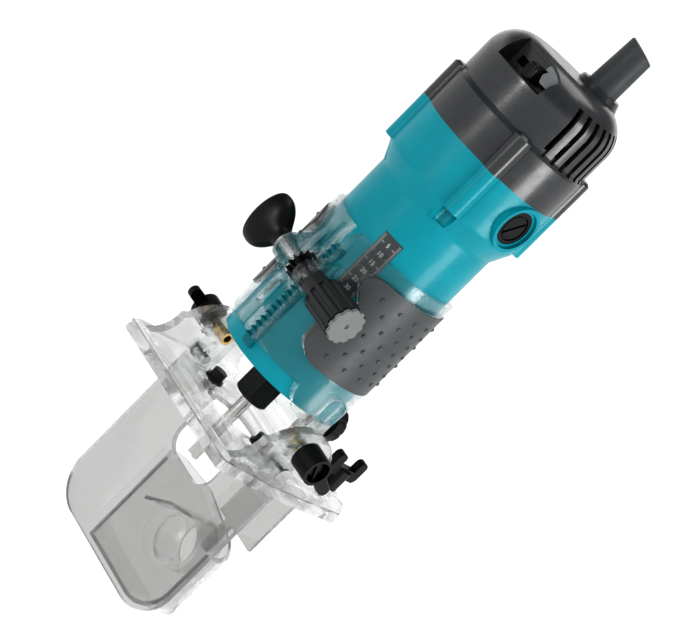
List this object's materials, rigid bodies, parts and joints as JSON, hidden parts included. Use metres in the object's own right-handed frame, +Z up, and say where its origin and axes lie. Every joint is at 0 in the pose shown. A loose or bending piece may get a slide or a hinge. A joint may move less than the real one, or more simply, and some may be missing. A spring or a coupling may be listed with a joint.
{
  "type": "trim router",
  "caption": "Corded trim router in a clear tilting base with rack height knob, wing nut clamp, tilt levers and a clear edge-trimming hood with a hose port.",
  "frame": {"origin": "on the spindle's axis, in the plane of the base plate's underside", "axes": "+Z up the spindle towards the cord, -Y towards the clamp of the sleeve, +X towards the height knob"},
  "size_m": [0.1126, 0.1071, 0.3371],
  "materials": {
    "teal_plastic": "satin",
    "black_plastic": "fine grain",
    "knob_plastic": "satin",
    "light_plastic": "satin",
    "guard_rubber": "satin",
    "pad_rubber": "dotted grip",
    "clear_plastic": "clear polished",
    "clear_hood": "clear polished",
    "scale_face": "printed",
    "dark_steel": "black oxide",
    "bright_steel": "ground",
    "core_steel": "laminated",
    "cast_nose": "cast",
    "brass": "turned",
    "copper": "enamelled copper",
    "carbon": "carbon"
  },
  "bodies": {
    "base": {"tilt_base": "clear_plastic", "pivot_pins": "bright_steel"},
    "sleeve": {"clamp_sleeve": "clear_plastic", "grip_pad_left": "pad_rubber", "grip_pad_right": "pad_rubber", "lock_inserts": "brass", "lock_washers": "bright_steel", "clamp_bolt": "bright_steel", "clamp_washer": "bright_steel"},
    "motor": {"motor_housing": "teal_plastic", "scale_plate": "scale_face", "gear_rack": "bright_steel", "nose_bracket": "cast_nose", "lower_bearing": "bright_steel", "upper_bearing": "bright_steel", "bearing_bridge": "black_plastic", "fan_baffle": "black_plastic", "stator_core": "core_steel", "field_windings": "copper", "brush_holders": "brass", "carbon_brushes": "carbon", "brush_springs": "bright_steel", "brush_cap_left": "black_plastic", "brush_cap_right": "black_plastic", "rear_cover": "black_plastic", "cover_screws": "bright_steel", "switch_well": "black_plastic", "switch_ramp": "light_plastic", "switch_body": "black_plastic", "noise_capacitor": "black_plastic", "cord_guard": "guard_rubber", "cord_clamp": "black_plastic", "cord_clamp_screws": "bright_steel"},
    "spindle": {"armature_shaft": "bright_steel", "rotor_core": "core_steel", "rotor_windings": "copper", "commutator": "copper", "cooling_fan": "black_plastic", "collet_nut": "dark_steel", "collet_cone": "bright_steel", "router_bit": "bright_steel"},
    "knob": {"pinion": "bright_steel", "height_knob": "knob_plastic", "knob_cap": "light_plastic"},
    "wing_nut": {"wing_nut": "black_plastic"},
    "switch_lever": {"switch_lever": "black_plastic"},
    "tilt_lever_right": {"tilt_lever_right": "black_plastic"},
    "tilt_lever_left": {"tilt_lever_left": "black_plastic"},
    "rear_knob": {"rear_knob": "black_plastic"},
    "guide_screw": {"guide_screw": "black_plastic"},
    "hood": {"hood_bracket": "clear_hood", "hood_fence": "clear_hood", "hood_tub": "clear_hood", "hood_nuts": "bright_steel"},
    "hood_screw_right": {"hood_screw_right": "black_plastic"},
    "hood_screw_left": {"hood_screw_left": "black_plastic"}
  },
  "joints": [
    {"name": "base_tilt", "type": "hinge", "parent": "base", "child": "sleeve", "pos_m": [0, 0, 0.0076], "axis": [1, 0, 0], "range_deg": [-12, 35]},
    {"name": "motor_height", "type": "slide", "parent": "sleeve", "child": "motor", "axis": [0, 0, 1], "range_m": [-0.006, 0.025]},
    {"name": "spindle_spin", "type": "hinge", "parent": "motor", "child": "spindle", "pos_m": [0, 0, 0.1], "axis": [0, 0, 1], "continuous": true},
    {"name": "height_knob_turn", "type": "hinge", "parent": "sleeve", "child": "knob", "pos_m": [0.027, -0.0426, 0.0826], "axis": [1, 0, 0], "range_deg": [-54, 222]},
    {"name": "wing_nut_turn", "type": "hinge", "parent": "sleeve", "child": "wing_nut", "pos_m": [-0.022, -0.0426, 0.0826], "axis": [1, 0, 0], "continuous": true},
    {"name": "switch_slide", "type": "slide", "parent": "motor", "child": "switch_lever", "axis": [1, 0, 0], "range_m": [-0.012, 0]},
    {"name": "right_lever_turn", "type": "hinge", "parent": "sleeve", "child": "tilt_lever_right", "pos_m": [0.05, 0, 0.022], "axis": [1, 0, 0], "range_deg": [0, 90]},
    {"name": "left_lever_turn", "type": "hinge", "parent": "sleeve", "child": "tilt_lever_left", "pos_m": [-0.05, 0, 0.022], "axis": [1, 0, 0], "range_deg": [-90, 0]},
    {"name": "rear_knob_turn", "type": "hinge", "parent": "sleeve", "child": "rear_knob", "pos_m": [0.01, 0.04, 0.027], "axis": [0, 1, 0], "continuous": true},
    {"name": "guide_screw_turn", "type": "hinge", "parent": "base", "child": "guide_screw", "pos_m": [0.033, 0.044, 0.014], "axis": [0, 0, 1], "continuous": true},
    {"name": "hood_slide", "type": "slide", "parent": "base", "child": "hood", "axis": [0, 1, 0], "range_m": [-0.008, 0.008]},
    {"name": "right_hood_screw_turn", "type": "hinge", "parent": "hood", "child": "hood_screw_right", "pos_m": [0.022, 0, 0.008], "axis": [0, 0, 1], "continuous": true},
    {"name": "left_hood_screw_turn", "type": "hinge", "parent": "hood", "child": "hood_screw_left", "pos_m": [-0.022, 0, 0.008], "axis": [0, 0, 1], "continuous": true}
  ],
  "couplings": [
    {"joint": "height_knob_turn", "follows": "motor_height", "rad_per_m": 153.85}
  ]
}
